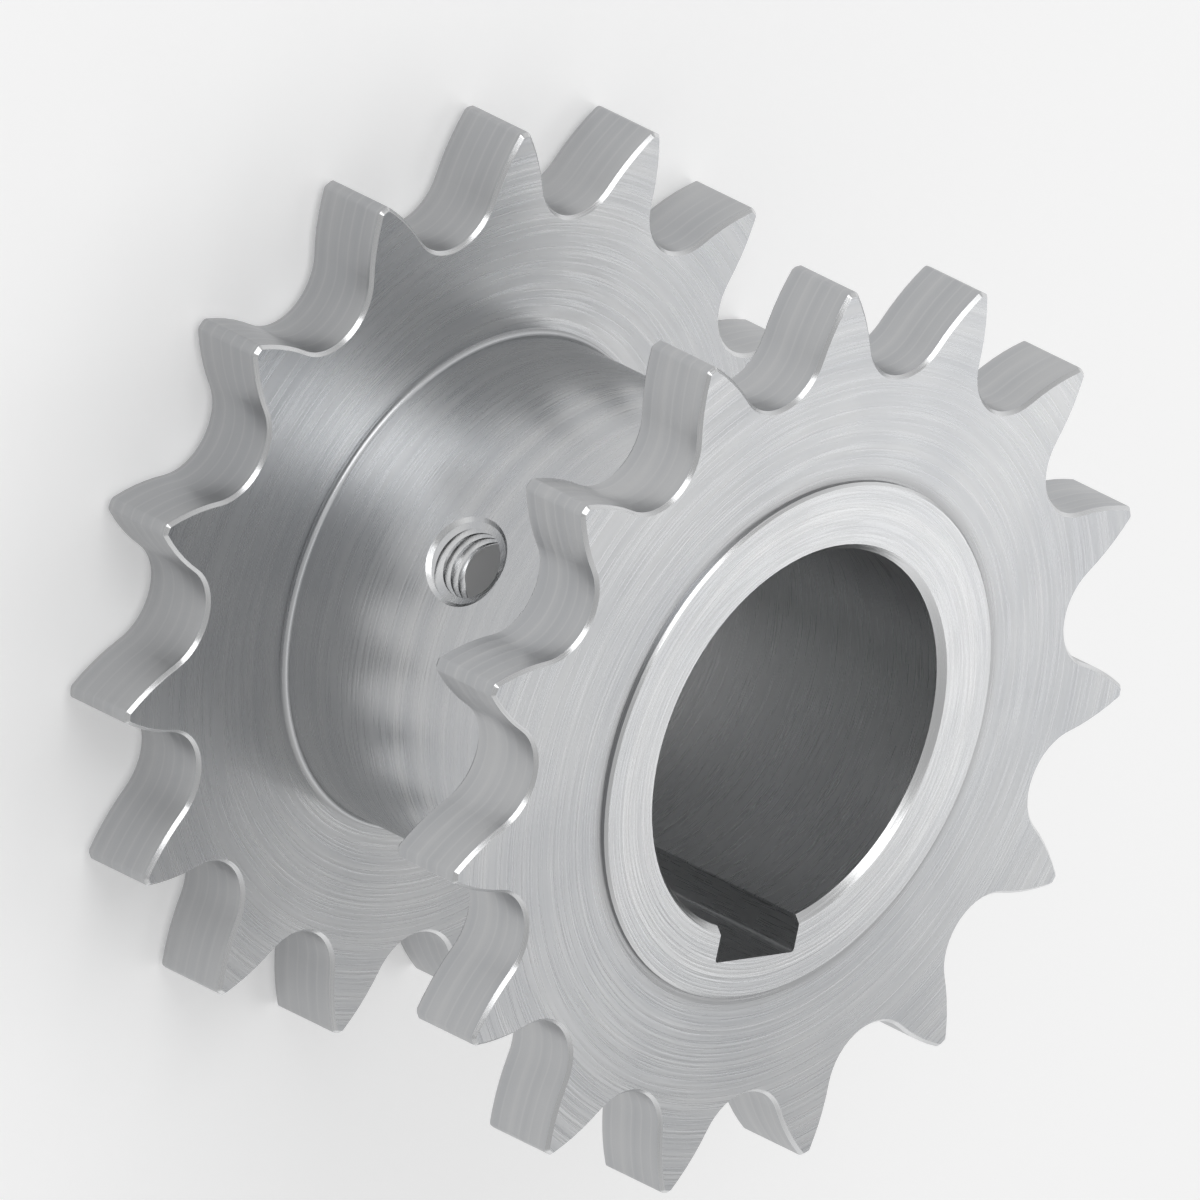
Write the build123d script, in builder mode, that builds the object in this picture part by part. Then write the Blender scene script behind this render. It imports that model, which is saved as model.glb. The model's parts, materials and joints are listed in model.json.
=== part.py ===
from build123d import *
import os
from math import cos, hypot, radians, sin

# A double single chain sprocket: two toothed rims, each for a roller chain of its own,
# turned and toothed from one bar of steel. The bore's axis is +Z, and the sprocket stands
# on its lower end, at z = 0. One tooth of each rim points along +X, and angles round the
# bore start from it.
# All sizes are in millimetres and all angles in degrees.

# Chain and teeth, for 1/2 in x 1/4 in roller chain
pitch = 12.7
roller_diameter = 7.77
tooth_count = 15
tooth_width = 5.8
rim_spacing = 31.75  # between the middles of the two rims
tooth_edge_break = 0.25
tip_round = 0.4  # on the two edges of each tip

# Turned body
bore_diameter = 28.0
bore_chamfer = 0.5
waist_diameter = 36.0
waist_corner = 0.5  # left by the turning tool's nose
facing_diameter = 38.0  # the raised ring round the bore at each end
facing_height = 0.4
facing_chamfer = 0.2

# Keyway, for a low-form key
keyway_width = 8.0
keyway_depth = 2.0  # below the bore's crown
keyway_corner_radius = 0.25
keyway_angle = 6.0

# Tapped hole for an M6 set screw, at the thread's outer diameter
screw_hole_diameter = 6.0
screw_hole_chamfer = 0.3
screw_hole_angle = -110.0

bore_radius = bore_diameter / 2
waist_radius = waist_diameter / 2
facing_radius = facing_diameter / 2
keyway_floor = bore_radius + keyway_depth
overall_length = rim_spacing + tooth_width + 2 * facing_height
mid_height = overall_length / 2
gap_bottom = facing_height + tooth_width
gap_top = overall_length - gap_bottom

# The tooth form of ISO 606, whose limits leave some room. The seat's angle and the tips'
# radius are midway between theirs, and the flank's radius is the least allowed.
half_tooth_angle = 180 / tooth_count
pitch_radius = pitch / 2 / sin(radians(half_tooth_angle))
root_radius = pitch_radius - roller_diameter / 2
tip_radius = root_radius + pitch * (1.125 - 0.8 / tooth_count) / 2
seat_radius = 0.505 * roller_diameter
seat_angle = 130 - 90 / tooth_count  # round the roller, from flank to flank
flank_radius = 0.12 * roller_diameter * (tooth_count + 2)
flank_sweep = 27.0  # carries the flank past the tips
cut_reach = 5.0  # beyond the roller's centre, clear of the blank


def polar(radius, angle):
    """The point at a radius and an angle from the origin."""
    return Vector(radius * cos(radians(angle)), radius * sin(radians(angle)))


def is_outside_pitch_circle(edge):
    """Whether an edge's middle lies further from the bore's axis than the rollers."""
    return hypot(edge.center().X, edge.center().Y) > pitch_radius


# The space between two teeth, with the seat's centre at the origin and +X pointing away
# from the bore: the seat, and on each side of it a convex flank
with BuildSketch() as tooth_space:
    with BuildLine() as outline:
        flank_centre = polar(seat_radius + flank_radius, 180 - seat_angle / 2)
        flank = CenterArc(flank_centre, flank_radius, -seat_angle / 2, flank_sweep)
        flank_end = flank @ 1
        Polyline(flank_end, (cut_reach, flank_end.Y), (cut_reach, 0))
        mirror(outline.line, about=Plane.XZ)
        CenterArc((0, 0), seat_radius, 180 - seat_angle / 2, seat_angle)
    make_face()

with BuildPart() as sprocket:
    # The spool, turned to its half section
    with BuildSketch(Plane.XZ) as section:
        with BuildLine() as lower_half:
            Polyline(
                (bore_radius, mid_height),
                (bore_radius, bore_chamfer),
                (bore_radius + bore_chamfer, 0),
                (facing_radius - facing_chamfer, 0),
                (facing_radius, facing_chamfer),
                (facing_radius, facing_height),
                (tip_radius, facing_height),
                (tip_radius, gap_bottom),
                (waist_radius, gap_bottom),
                (waist_radius, mid_height),
            )
            mirror(lower_half.line, about=Plane.XZ.offset(-mid_height))
        make_face()
    revolve(axis=Axis.Z)
    round_edges = sprocket.edges().filter_by(GeomType.CIRCLE)
    gap_edges = round_edges.filter_by_position(Axis.Z, gap_bottom, gap_top)
    chamfer(gap_edges.sort_by(SortBy.RADIUS)[:2], waist_corner)

    # The teeth, cut in one pass through both rims
    with BuildSketch() as tooth_spaces:
        seats = PolarLocations(root_radius + seat_radius, tooth_count, half_tooth_angle)
        with seats:
            add(tooth_space.sketch)
    extrude(amount=overall_length, mode=Mode.SUBTRACT)
    tip_edges = sprocket.edges().filter_by(Axis.Z).filter_by(is_outside_pitch_circle)
    fillet(tip_edges, tip_round)
    rim_sides = sprocket.faces().filter_by(Axis.Z).sort_by(SortBy.AREA)[-4:]
    tooth_edges = [edge for side in rim_sides for edge in side.outer_wire().edges()]
    chamfer(tooth_edges, tooth_edge_break)

    # The keyway, along the whole bore
    with BuildSketch(Plane.XY.rotated((0, 0, keyway_angle))) as keyway:
        Rectangle(keyway_floor, keyway_width, align=(Align.MIN, Align.CENTER))
        fillet(keyway.vertices().group_by(Axis.X)[-1], keyway_corner_radius)
    extrude(amount=overall_length, mode=Mode.SUBTRACT)

    # The tapped hole, through the waist's wall halfway between the rims
    outward = polar(1, screw_hole_angle)
    waist_crown = Plane(outward * waist_radius + (0, 0, mid_height), z_dir=outward)
    with Locations(waist_crown):
        Hole(screw_hole_diameter / 2, waist_radius)
    hole_rims = sprocket.edges(Select.LAST).filter_by(GeomType.BSPLINE)
    outer_rim = hole_rims.sort_by_distance((0, 0, mid_height))[-1]
    chamfer(outer_rim, screw_hole_chamfer)

sprocket.part.label = "sprocket"
os.makedirs("parts", exist_ok=True)
export_step(sprocket.part, "parts/sprocket.step")
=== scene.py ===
import json
from math import cos, pi, radians, sin, sqrt
from types import SimpleNamespace

import bmesh
import bpy
from mathutils import Matrix, Vector


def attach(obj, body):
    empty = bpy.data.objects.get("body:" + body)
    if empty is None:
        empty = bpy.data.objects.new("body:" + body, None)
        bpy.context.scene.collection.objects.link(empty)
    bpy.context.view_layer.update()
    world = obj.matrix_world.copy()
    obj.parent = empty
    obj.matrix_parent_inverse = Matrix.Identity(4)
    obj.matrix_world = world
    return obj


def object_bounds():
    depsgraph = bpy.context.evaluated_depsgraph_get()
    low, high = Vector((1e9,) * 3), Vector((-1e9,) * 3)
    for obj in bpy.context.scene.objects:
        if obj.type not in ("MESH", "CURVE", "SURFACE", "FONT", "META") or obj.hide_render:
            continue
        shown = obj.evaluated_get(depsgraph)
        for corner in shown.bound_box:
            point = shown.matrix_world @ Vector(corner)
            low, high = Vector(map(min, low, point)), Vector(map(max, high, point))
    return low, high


# The dressed model of a double chain sprocket, in the frame of its CAD: the bore's axis is
# +Z, and the lower end stands on the floor at z = 0. Lengths are in metres.

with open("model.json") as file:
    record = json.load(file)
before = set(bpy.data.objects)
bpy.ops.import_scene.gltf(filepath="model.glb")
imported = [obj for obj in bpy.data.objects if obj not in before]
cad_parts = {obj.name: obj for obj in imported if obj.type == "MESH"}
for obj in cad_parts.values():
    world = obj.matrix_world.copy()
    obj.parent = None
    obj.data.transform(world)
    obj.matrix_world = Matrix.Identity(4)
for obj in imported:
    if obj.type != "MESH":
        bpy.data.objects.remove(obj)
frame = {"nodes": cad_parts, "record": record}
cad_low, cad_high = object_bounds()

MM = 0.001
UPWARD = Vector((0, 0, 1))

sprocket = frame["nodes"]["sprocket"]
mounts = {mount["name"]: mount for mount in frame["record"]["mounts"]}
bore_radius = mounts["bore"]["dims"]["r_mm"] * MM
hole_radius = mounts["set_screw_hole"]["dims"]["r_mm"] * MM
hole_axis = Vector(mounts["set_screw_hole"]["axis"])
mid_height = mounts["set_screw_hole"]["pos_m"][2]

# The turned body, as the CAD has it
WAIST_RADIUS = 18.0 * MM
WAIST_CORNER = 0.5 * MM
FACING_RADIUS = 19.0 * MM
ROOT_RADIUS = 26.66 * MM
HOLE_CHAMFER = 0.3 * MM

# How surfaces are told apart. The upright part of a surface's normal is 0 on a wall along
# the bore's axis, and 1 on a face square to it: each pair is where that ends or begins.
WALL_END = (0.25, 0.5)
FACE_START = (0.85, 0.97)
MARGIN = 0.1 * MM  # for what is told by its radius
END_DEPTH = 1.0 * MM  # takes in the rim's side and the raised ring

# The steps that the tools advance by, and the depth of their marks
LATHE_FEED = 0.24 * MM
HOB_FEED = 0.95 * MM
MARK_DEPTH = 0.006 * MM
GROOVE_SHARE = 0.7  # of that depth, for the grooves of turning

# How dense the patterns on the steel are: in each radian round the axis, and in each
# millimetre otherwise
TURN_MARKS_ROUND = 3.0
TURN_MARKS_ACROSS = 8.0
BROACH_MARKS = (9, 9, 0.4)
CLOUDS = 0.09
PASSES = 0.8
NOISE_RANGE = (0.3, 0.7)  # which they mostly stay within

DARK_STEEL = (0.50, 0.51, 0.525, 1)
LIGHT_STEEL = (0.60, 0.605, 0.61, 1)
# Bright steel for the finer-turned ring and the broken edges, and painted light in the bore
# and keyway
BRIGHT_STEEL_AND_PAINTED_LIGHT = (0.74, 0.745, 0.75, 1)
# A darker tone for the hobbed flanks, and painted shade beside the raised rings' feet
DARK_TONE_AND_PAINTED_SHADE = (0.2, 0.2, 0.205, 1)
CLOUD_SHARE, PASS_SHARE, MARK_SHARE = 0.5, 0.3, 0.2  # of the shade, from dark to light
CUSP_HIGHLIGHT = 0.15  # a painted highlight, added on top of them, on the upper part of each cusp
CUSP_TOP = (0.6, 1.0)
FOOT_SHADE_REACH = 1.2 * MM  # of the painted shade beside the raised ring's foot

TURNED_ROUGHNESS = 0.3
HOBBED_ROUGHNESS = 0.34
ROUGHNESS_SPREAD = 0.05  # that the marks add to these or take off
EDGE_POLISH = 0.06  # taken off on broken edges
RING_POLISH = 0.03
ANISOTROPY = 0.5

# The view: the side that it is seen from, the way the bore's axis then points in the
# picture, and where the picture's middle lies from the origin, to the right and upwards
VIEW_AZIMUTH = -16.5
VIEW_ELEVATION = 37.6
AXIS_BELOW_LEVEL = 26.0
PICTURE_WIDTH = 82.76 * MM
PICTURE_MIDDLE = (13.55 * MM, -3.59 * MM)
CAMERA_DISTANCE = 0.5

# The studio. What the camera sees of it, straight or in the metal, is shown near to white.
WHITE = (1, 1, 1, 1)
PALE_FLOOR = (0.86, 0.86, 0.86, 1)
FLOOR_REACH = 1.5  # from its middle to each side
FLOOR_DROP = 0.02 * MM  # below the sprocket's end
FLOOR_GLOW = 0.26
WORLD_LIGHT = 0.5
OVERHEAD = 0.7  # the upward part of a direction, from which it counts as overhead
OVERHEAD_GLOW = 0.5  # how bright the world is shown there

# The set screw's thread, M6 x 1
THREAD_PITCH = 1.0 * MM
THREAD_MINOR_RADIUS = 2.46 * MM
THREAD_ROOT_WIDTH = 0.875 * MM  # of the ridge, where it leaves the hole's wall
THREAD_CREST_WIDTH = 0.25 * MM
THREAD_SINK = 0.04 * MM  # into the hole's wall
THREAD_INSET = 0.02 * MM  # back from the bore and from the waist
THREAD_LEAD = 0.3  # how steeply its outer end slopes inwards
THREAD_STEPS = 72  # in one turn
THREAD_SPARE = 1  # turns past each end, to be cut off
THREAD_MERGE = 0.001 * MM  # corners closer than this are one


# --- Camera and lamps --------------------------------------------------------------------


def view_axes():
    """The picture's right, its up, and the way towards the viewer."""
    azimuth, elevation = radians(VIEW_AZIMUTH), radians(VIEW_ELEVATION)
    toward = Vector(
        (sin(azimuth) * cos(elevation), -cos(azimuth) * cos(elevation), sin(elevation))
    )
    level = UPWARD.cross(toward).normalized()
    upright = toward.cross(level)
    roll = radians(90 + AXIS_BELOW_LEVEL)
    right = cos(roll) * level + sin(roll) * upright
    up = toward.cross(right)
    return right, up, toward


def facing(toward, up, place):
    """The matrix of a lamp or camera at a place, which looks against toward."""
    right = up.cross(toward).normalized()
    up = toward.cross(right)
    turned = Matrix((right, up, toward)).transposed().to_4x4()
    return Matrix.Translation(place) @ turned


def add_object(name, data):
    thing = bpy.data.objects.new(name, data)
    bpy.context.scene.collection.objects.link(thing)
    return thing


def add_camera():
    right, up, toward = view_axes()
    data = bpy.data.cameras.new("camera")
    data.type = "ORTHO"
    data.ortho_scale = PICTURE_WIDTH
    camera = add_object("camera", data)
    middle = PICTURE_MIDDLE[0] * right + PICTURE_MIDDLE[1] * up
    camera.matrix_world = facing(toward, up, middle + CAMERA_DISTANCE * toward)
    bpy.context.scene.camera = camera


def add_lamp(name, target, direction, distance, size, radiance):
    """A square soft box, size wide, which looks at a target from a direction."""
    data = bpy.data.lights.new(name, "AREA")
    data.size = size
    data.energy = radiance * pi * size**2
    direction = direction.normalized()
    lamp = add_object(name, data)
    lamp.matrix_world = facing(direction, UPWARD, target + distance * direction)


def add_lamps():
    """A key light from the viewer's side, one that the end faces mirror to the viewer, and
    one overhead, which also lights the floor in the bore and so the bore's wall."""
    right, up, toward = view_axes()
    top = Vector((0, 0, cad_high.z))
    add_lamp(
        "key",
        target=(cad_low + cad_high) / 2,
        direction=0.30 * right + 0.35 * up + 0.88 * toward,
        distance=0.6,
        size=0.35,
        radiance=2.0,
    )
    add_lamp(
        "back",
        target=top + 30 * MM * right + 20 * MM * up,
        direction=Vector((-toward.x, -toward.y, toward.z)),
        distance=0.3,
        size=0.09,
        radiance=1.0,
    )
    add_lamp(
        "overhead",
        target=top,
        direction=Vector((0, 0.34, 0.94)),
        distance=0.5,
        size=0.2,
        radiance=3.0,
    )


# --- Nodes -------------------------------------------------------------------------------


def connect(tree, node, inputs):
    """Sets a node's inputs, each to a number, a colour or another node's output."""
    for key, value in inputs.items():
        if isinstance(value, bpy.types.NodeSocket):
            tree.links.new(value, node.inputs[key])
        else:
            node.inputs[key].default_value = value


def put(tree, kind, inputs, **settings):
    """Adds a shader node, with its settings and its inputs."""
    node = tree.nodes.new("ShaderNode" + kind)
    for name, value in settings.items():
        setattr(node, name, value)
    connect(tree, node, inputs)
    return node


def new_material(name):
    """A material, its node tree and its shader."""
    material = bpy.data.materials.new(name)
    material.use_nodes = True
    tree = material.node_tree
    return material, tree, tree.nodes["Principled BSDF"]


def maths(tree, operation, *values):
    return put(tree, "Math", dict(enumerate(values)), operation=operation).outputs[0]


def product(tree, *values):
    result = values[0]
    for value in values[1:]:
        result = maths(tree, "MULTIPLY", result, value)
    return result


def total(tree, *values):
    result = values[0]
    for value in values[1:]:
        result = maths(tree, "ADD", result, value)
    return result


def outside(tree, mask):
    """1 where a mask is 0, and 0 where it is 1."""
    return maths(tree, "SUBTRACT", 1.0, mask)


def vector_maths(tree, operation, *vectors):
    node = put(tree, "VectorMath", dict(enumerate(vectors)), operation=operation)
    is_number = operation in ("LENGTH", "DOT_PRODUCT")
    return node.outputs["Value" if is_number else "Vector"]


def along_axis(tree, length):
    """The vector of a length along the bore's axis."""
    return put(tree, "CombineXYZ", {"Z": length}).outputs[0]


def ramp(tree, value, low, high, to_low=0.0, to_high=1.0, kind="SMOOTHSTEP"):
    """A step of value that is even or smooth, from to_low at low to to_high at high."""
    inputs = {"Value": value, "From Min": low, "From Max": high}
    inputs.update({"To Min": to_low, "To Max": to_high})
    return put(tree, "MapRange", inputs, interpolation_type=kind).outputs["Result"]


def noise(tree, place, scale, detail):
    inputs = {"Vector": place, "Scale": scale, "Detail": detail}
    return put(tree, "TexNoise", inputs).outputs["Fac"]


def noise_along(tree, distance, scale, detail):
    """Noise that varies with one number only."""
    inputs = {"W": distance, "Scale": scale, "Detail": detail}
    return put(tree, "TexNoise", inputs, noise_dimensions="1D").outputs["Fac"]


def in_band(tree, value, low, high):
    """1 where a length in millimetres is between two lengths in metres, and 0 elsewhere."""
    inputs = {0: value, 1: (low + high) / 2 / MM, 2: (high - low) / 2 / MM}
    return put(tree, "Math", inputs, operation="COMPARE").outputs[0]


# A Mix node numbers its inputs: the two numbers are 2 and 3, the vectors 4 and 5, and the
# colours 6 and 7. Each of these gives the first where the factor is 0, and the last where
# it is 1.


def blend(tree, factor, first, last):
    inputs = {"Factor": factor, 2: first, 3: last}
    return put(tree, "Mix", inputs).outputs[0]


def vector_blend(tree, factor, first, last):
    inputs = {"Factor": factor, 4: first, 5: last}
    return put(tree, "Mix", inputs, data_type="VECTOR").outputs[1]


def colour_blend(tree, factor, first, last):
    inputs = {"Factor": factor, 6: first, 7: last}
    return put(tree, "Mix", inputs, data_type="RGBA").outputs[2]


# --- Steel -------------------------------------------------------------------------------


def in_screw_hole(tree, place):
    """1 in the set screw's hole, as far out as its chamfer reaches, and 0 elsewhere."""
    offset = vector_maths(tree, "SUBTRACT", place, (0, 0, mid_height / MM))
    across = vector_maths(tree, "CROSS_PRODUCT", offset, hole_axis)
    aside = vector_maths(tree, "LENGTH", across)
    near_axis = maths(tree, "LESS_THAN", aside, (hole_radius + HOLE_CHAMFER) / MM)
    along = vector_maths(tree, "DOT_PRODUCT", place, hole_axis)
    return product(tree, near_axis, maths(tree, "GREATER_THAN", along, 0.0))


def read_ends(tree, at):
    """The raised ring on each end face, and the band of painted shade beside its foot."""
    from_middle = maths(tree, "ABSOLUTE", at.below_middle)
    at_end = maths(tree, "GREATER_THAN", from_middle, (mid_height - END_DEPTH) / MM)
    on_end = product(tree, at.on_face, at_end)
    at.on_ring = product(tree, on_end, in_band(tree, at.radius, 0.0, FACING_RADIUS))
    # Painted shade, darkest at the ring's foot and fading outwards
    shade_end = (FACING_RADIUS + FOOT_SHADE_REACH) / MM
    shade_fading = ramp(tree, at.radius, FACING_RADIUS / MM, shade_end, 1.0, 0.0)
    at.by_ring = product(tree, maths(tree, "SUBTRACT", on_end, at.on_ring), shade_fading)


def read_surface(tree):
    """Where a point is, in millimetres, and which of the sprocket's surfaces it is on, each
    as a mask of 0 to 1."""
    at = SimpleNamespace()
    coordinates = put(tree, "TexCoord", {}).outputs
    at.place = vector_maths(tree, "MULTIPLY", coordinates["Object"], (1 / MM,) * 3)
    split = put(tree, "SeparateXYZ", {0: at.place}).outputs
    at.height = split["Z"]
    at.below_middle = maths(tree, "SUBTRACT", mid_height / MM, at.height)
    across = vector_maths(tree, "MULTIPLY", at.place, (1, 1, 0))
    at.radius = vector_maths(tree, "LENGTH", across)
    at.outward = vector_maths(tree, "NORMALIZE", across)

    normal = put(tree, "SeparateXYZ", {0: coordinates["Normal"]}).outputs
    upright = maths(tree, "ABSOLUTE", normal["Z"])
    off_wall = ramp(tree, upright, *WALL_END)
    on_wall = outside(tree, off_wall)
    at.on_face = ramp(tree, upright, *FACE_START)
    sloping = maths(tree, "SUBTRACT", off_wall, at.on_face)

    at.in_hole = in_screw_hole(tree, at.place)
    corner = in_band(tree, at.radius, WAIST_RADIUS - MARGIN, WAIST_RADIUS + WAIST_CORNER)
    at.in_corner = product(tree, sloping, corner, outside(tree, at.in_hole))
    at.on_edge = maths(tree, "SUBTRACT", sloping, at.in_corner)

    beyond_root = maths(tree, "GREATER_THAN", at.radius, (ROOT_RADIUS - MARGIN) / MM)
    at.on_flank = product(tree, on_wall, beyond_root)
    bored = in_band(tree, at.radius, 0.0, bore_radius + MARGIN)
    at.in_bore = product(tree, on_wall, bored)
    broached = in_band(tree, at.radius, bore_radius + MARGIN, WAIST_RADIUS - MARGIN)
    on_key_side = maths(tree, "GREATER_THAN", split["X"], 0.0)
    at.in_keyway = product(tree, on_wall, broached, on_key_side)
    read_ends(tree, at)
    return at


def read_marks(tree, at):
    """The marks of the tools. Those of turning run round the axis, each for 5 to 10
    millimetres, and the tool's feed crosses them: outwards on a face, and along the axis on
    a wall. A broach leaves them along the keyway, and a hob leaves a cusp at each step."""
    at.feed = blend(tree, at.on_face, at.height, at.radius)
    round_axis = vector_maths(tree, "MULTIPLY", at.outward, (TURN_MARKS_ROUND,) * 3)
    across = along_axis(tree, product(tree, at.feed, TURN_MARKS_ACROSS))
    turned = vector_maths(tree, "ADD", round_axis, across)
    broached = vector_maths(tree, "MULTIPLY", at.place, BROACH_MARKS)
    at.marks = noise(tree, vector_blend(tree, at.in_keyway, turned, broached), 1.0, 2.0)

    groove = noise_along(tree, at.feed, MM / LATHE_FEED, 0.0)
    at.groove = product(tree, groove, GROOVE_SHARE)
    scallop = maths(tree, "SINE", product(tree, at.height, pi / HOB_FEED * MM))
    at.cusp = outside(tree, maths(tree, "ABSOLUTE", scallop))


def corner_normal(tree, at):
    """The normal of the round that a turning tool's nose leaves, where the solid has a flat
    chamfer: it turns from outwards at the waist to along the axis at the rim."""
    corner_end = (WAIST_RADIUS + WAIST_CORNER) / MM
    turn = ramp(tree, at.radius, WAIST_RADIUS / MM, corner_end, 0.0, pi / 2, "LINEAR")
    along = product(tree, maths(tree, "SINE", turn), maths(tree, "SIGN", at.below_middle))
    outward = {0: at.outward, "Scale": maths(tree, "COSINE", turn)}
    outward = put(tree, "VectorMath", outward, operation="SCALE").outputs[0]
    normal = {"Vector": vector_maths(tree, "ADD", outward, along_axis(tree, along))}
    spaces = {"convert_from": "OBJECT", "convert_to": "WORLD"}
    return put(tree, "VectorTransform", normal, vector_type="NORMAL", **spaces).outputs[0]


def steel_colour(tree, at):
    """A shade of steel, which broad clouds, the rings of single passes and the tools' marks
    vary a little. On it lie a painted highlight along each hob cusp, painted light in the
    bore and keyway, and painted shade beside the raised rings' feet."""
    clouds = noise(tree, at.place, CLOUDS, 2.0)
    passes = noise_along(tree, at.feed, PASSES, 1.0)
    shade = total(
        tree,
        product(tree, clouds, CLOUD_SHARE),
        product(tree, passes, PASS_SHARE),
        product(tree, at.marks, MARK_SHARE),
        # Painted highlight along the ridge of each hob cusp
        product(tree, at.on_flank, ramp(tree, at.cusp, *CUSP_TOP, 0.0, CUSP_HIGHLIGHT)),
    )
    colour = colour_blend(tree, ramp(tree, shade, *NOISE_RANGE), DARK_STEEL, LIGHT_STEEL)

    # The surfaces that depart from it, how far, and towards what
    departures = (
        (at.on_ring, 0.3, BRIGHT_STEEL_AND_PAINTED_LIGHT),
        # Painted light: the bore and keyway are lightened to lift the shade inside them
        (at.in_bore, 0.8, BRIGHT_STEEL_AND_PAINTED_LIGHT),
        (at.in_keyway, 0.8, BRIGHT_STEEL_AND_PAINTED_LIGHT),
        (at.on_flank, 0.25, DARK_TONE_AND_PAINTED_SHADE),
        # Painted shade beside the raised ring's foot, where the step shades the face
        (at.by_ring, 0.5, DARK_TONE_AND_PAINTED_SHADE),
        (at.on_edge, 0.8, BRIGHT_STEEL_AND_PAINTED_LIGHT),
    )
    for surface, share, towards in departures:
        colour = colour_blend(tree, product(tree, surface, share), colour, towards)
    return colour


def steel_roughness(tree, at):
    """The roughness, a little uneven with the marks."""
    common = blend(tree, at.on_flank, TURNED_ROUGHNESS, HOBBED_ROUGHNESS)
    uneven = ramp(tree, at.marks, *NOISE_RANGE, -ROUGHNESS_SPREAD, ROUGHNESS_SPREAD)
    edge_polish = product(tree, at.on_edge, -EDGE_POLISH)
    ring_polish = product(tree, at.on_ring, -RING_POLISH)
    return total(tree, common, uneven, edge_polish, ring_polish)


def steel_normal(tree, at):
    """The tools' marks in relief, on the solid's normal or the waist corner's."""
    relief = total(tree, at.marks, blend(tree, at.on_flank, at.groove, at.cusp))
    relief = product(tree, relief, outside(tree, at.in_hole))
    solid_normal = put(tree, "NewGeometry", {}).outputs["Normal"]
    normal = vector_blend(tree, at.in_corner, solid_normal, corner_normal(tree, at))
    bump = {"Height": relief, "Distance": MARK_DEPTH, "Strength": 1.0, "Normal": normal}
    return put(tree, "Bump", bump).outputs[0]


def steel():
    """Bare steel, turned on its faces, waist and bore, and hobbed on its teeth."""
    material, tree, shader = new_material("machined_steel")
    at = read_surface(tree)
    read_marks(tree, at)
    round_axis = put(tree, "Tangent", {}, direction_type="RADIAL", axis="Z")
    inputs = {
        "Base Color": steel_colour(tree, at),
        "Metallic": 1.0,
        "Roughness": steel_roughness(tree, at),
        "Normal": steel_normal(tree, at),
        "Anisotropic": ANISOTROPY,
        "Tangent": round_axis.outputs[0],
    }
    connect(tree, shader, inputs)
    return material


# --- The thread --------------------------------------------------------------------------


def first_inside(path, beyond):
    """Where a path of points first comes back within a limit."""
    if beyond(*path[0]) <= 0:
        return path[0]
    for start, end in zip(path, path[1:]):
        excess, next_excess = beyond(*start), beyond(*end)
        if next_excess <= 0:
            share = excess / (excess - next_excess)
            return tuple(a + share * (b - a) for a, b in zip(start, end))


def cut_off(corners, beyond):
    """The section's corners, from the side that goes to the side that stays, moved along
    its outline to where it is cut. Nothing is left of one that lies beyond the limit."""
    if not corners or beyond(*corners[-1]) > 0:
        return []
    first = first_inside([corners[0], corners[-1]], beyond)
    return [first] + [first_inside(corners[i:], beyond) for i in range(1, len(corners))]


def ridge_section(middle, sideways):
    """The corners of the ridge's section, cut off at the bore and at the hole's chamfer.
    Each is a radius from the hole's axis and a distance along it. The section's middle is
    at such a distance, and sideways is the part of a radius that runs level."""
    foot, crest = THREAD_ROOT_WIDTH / 2, THREAD_CREST_WIDTH / 2
    corners = [
        (hole_radius + THREAD_SINK, middle - foot),
        (THREAD_MINOR_RADIUS, middle - crest),
        (THREAD_MINOR_RADIUS, middle + crest),
        (hole_radius + THREAD_SINK, middle + foot),
    ]

    def beyond_bore(radius, out):
        surface = sqrt(bore_radius**2 - (radius * sideways) ** 2)
        return surface + THREAD_INSET - out

    def beyond_waist(radius, out):
        surface = sqrt(WAIST_RADIUS**2 - (radius * sideways) ** 2)
        slope = THREAD_LEAD * (hole_radius - radius)
        return out - (surface - HOLE_CHAMFER - THREAD_INSET - slope)

    corners = cut_off(corners[::-1], beyond_waist)
    return cut_off(corners[::-1], beyond_bore)


def ridge_rings():
    """The corners of the ridge's section at each step of its helix, from bore to waist."""
    side = UPWARD.cross(hole_axis)
    turns = (WAIST_RADIUS - bore_radius) / THREAD_PITCH + 2 * THREAD_SPARE
    rings = []
    for step in range(int(turns * THREAD_STEPS) + 1):
        turn = step / THREAD_STEPS
        angle = 2 * pi * turn
        middle = (WAIST_RADIUS + bore_radius) / 2 + (turn - turns / 2) * THREAD_PITCH
        ring = []
        for radius, out in ridge_section(middle, cos(angle)):
            upward = Vector((0, 0, mid_height + radius * sin(angle)))
            ring.append(hole_axis * out + side * radius * cos(angle) + upward)
        if ring:
            rings.append(ring)
    return rings


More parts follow.
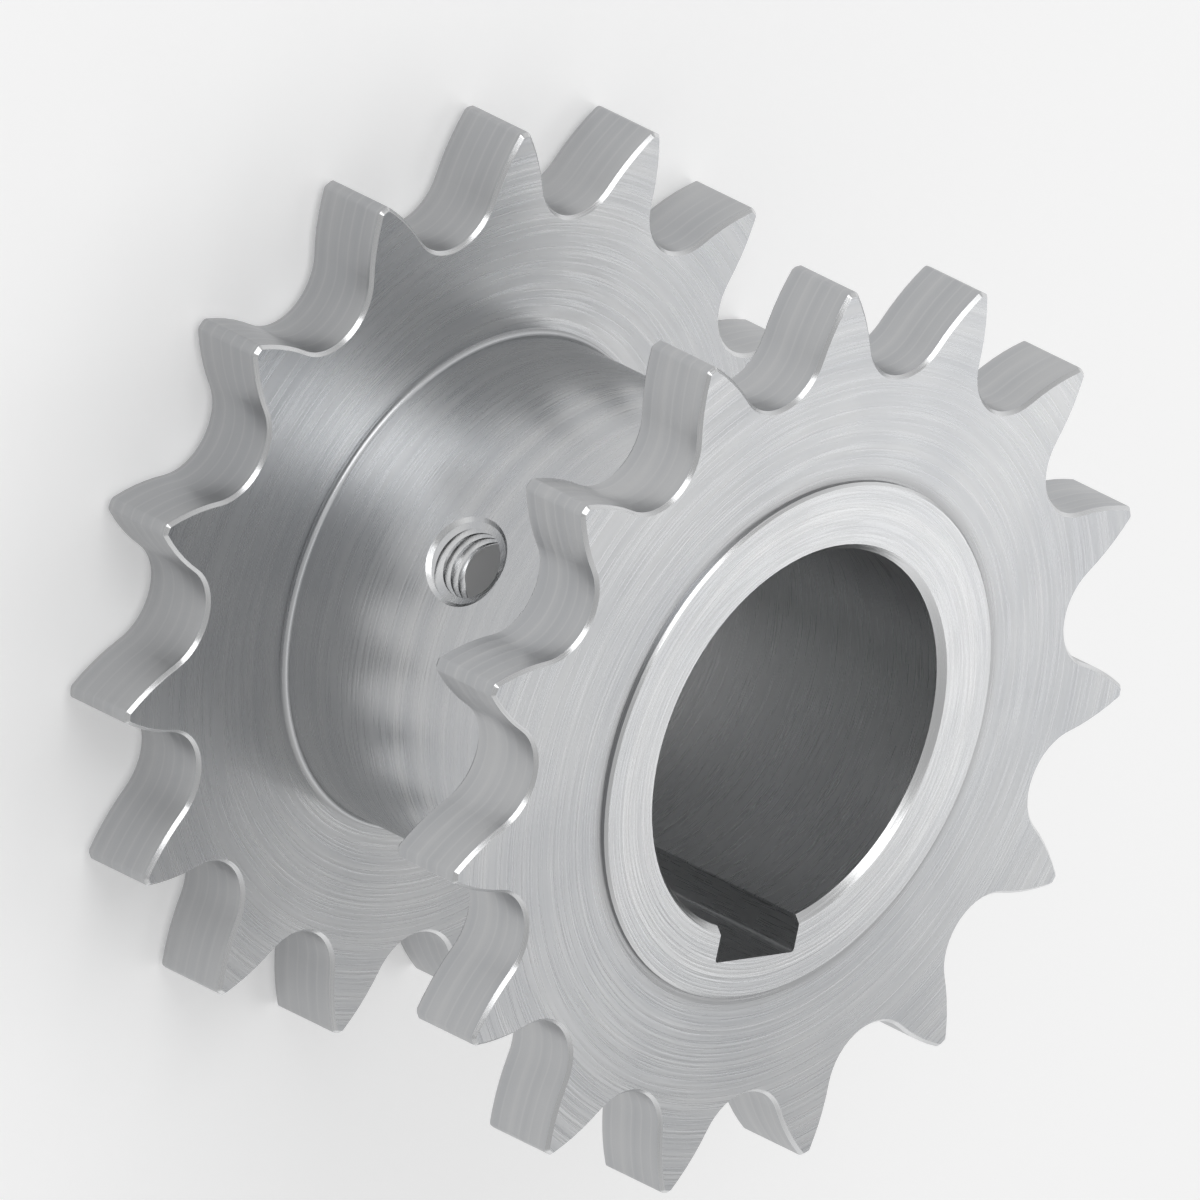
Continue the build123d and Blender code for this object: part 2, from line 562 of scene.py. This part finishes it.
def thread_ridge():
    """The ridge of the tapped hole's thread, closed at both ends."""
    rings = ridge_rings()
    corners = len(rings[0])
    vertices = [point for ring in rings for point in ring]
    last = len(vertices) - corners
    faces = [tuple(range(corners)), tuple(range(last, last + corners))[::-1]]
    for start in range(0, last, corners):
        end = start + corners
        for here in range(corners):
            beside = (here + 1) % corners
            faces.append((start + here, end + here, end + beside, start + beside))
    mesh = bpy.data.meshes.new("set_screw_thread")
    mesh.from_pydata(vertices, [], faces)

    # Where the crest is cut away, its two edges have run together
    shell = bmesh.new()
    shell.from_mesh(mesh)
    bmesh.ops.remove_doubles(shell, verts=shell.verts, dist=THREAD_MERGE)
    bmesh.ops.recalc_face_normals(shell, faces=shell.faces)
    shell.to_mesh(mesh)
    shell.free()
    return add_object("set_screw_thread", mesh)


# --- Floor and backdrop ------------------------------------------------------------------


def seen_as_background(tree):
    """1 for what the camera sees, straight or in the metal, and 0 for light."""
    path = put(tree, "LightPath", {}).outputs
    seen = maths(tree, "MAXIMUM", path["Is Camera Ray"], path["Is Glossy Ray"])
    return maths(tree, "MAXIMUM", seen, path["Is Transmission Ray"])


def floor_material():
    """Pale and dull. It has no glow inside the bore, whose wall would mirror it."""
    material, tree, shader = new_material("pale_floor")
    away = vector_maths(tree, "LENGTH", put(tree, "TexCoord", {}).outputs["Object"])
    glow = ramp(tree, away, WAIST_RADIUS, FACING_RADIUS, 0.0, FLOOR_GLOW)
    inputs = {
        "Base Color": PALE_FLOOR,
        "Roughness": 0.9,
        "Specular IOR Level": 0.1,
        "Emission Color": WHITE,
        "Emission Strength": product(tree, seen_as_background(tree), glow),
    }
    connect(tree, shader, inputs)
    return material


def add_floor():
    mesh = bpy.data.meshes.new("floor")
    ends = (-FLOOR_REACH, FLOOR_REACH)
    corners = [(x, y, 0) for x in ends for y in ends]
    mesh.from_pydata(corners, [], [(0, 2, 3, 1)])
    mesh.materials.append(floor_material())
    floor = add_object("floor", mesh)
    floor.location.z = -FLOOR_DROP


def add_world():
    """White where it is seen, a little less so overhead, and a softer light."""
    world = bpy.data.worlds.new("studio")
    bpy.context.scene.world = world
    world.use_nodes = True
    tree = world.node_tree
    direction = put(tree, "TexCoord", {}).outputs["Generated"]
    upward = put(tree, "SeparateXYZ", {0: direction}).outputs["Z"]
    shown = ramp(tree, upward, 0.0, OVERHEAD, 1.0, OVERHEAD_GLOW)
    strength = blend(tree, seen_as_background(tree), WORLD_LIGHT, shown)
    connect(tree, tree.nodes["Background"], {"Color": WHITE, "Strength": strength})


add_camera()
add_lamps()
add_floor()
add_world()
bpy.context.scene.view_settings.view_transform = "Standard"

bare_steel = steel()
sprocket.material_slots[0].material = bare_steel
thread = thread_ridge()
thread.data.materials.append(bare_steel)
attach(thread, "root")
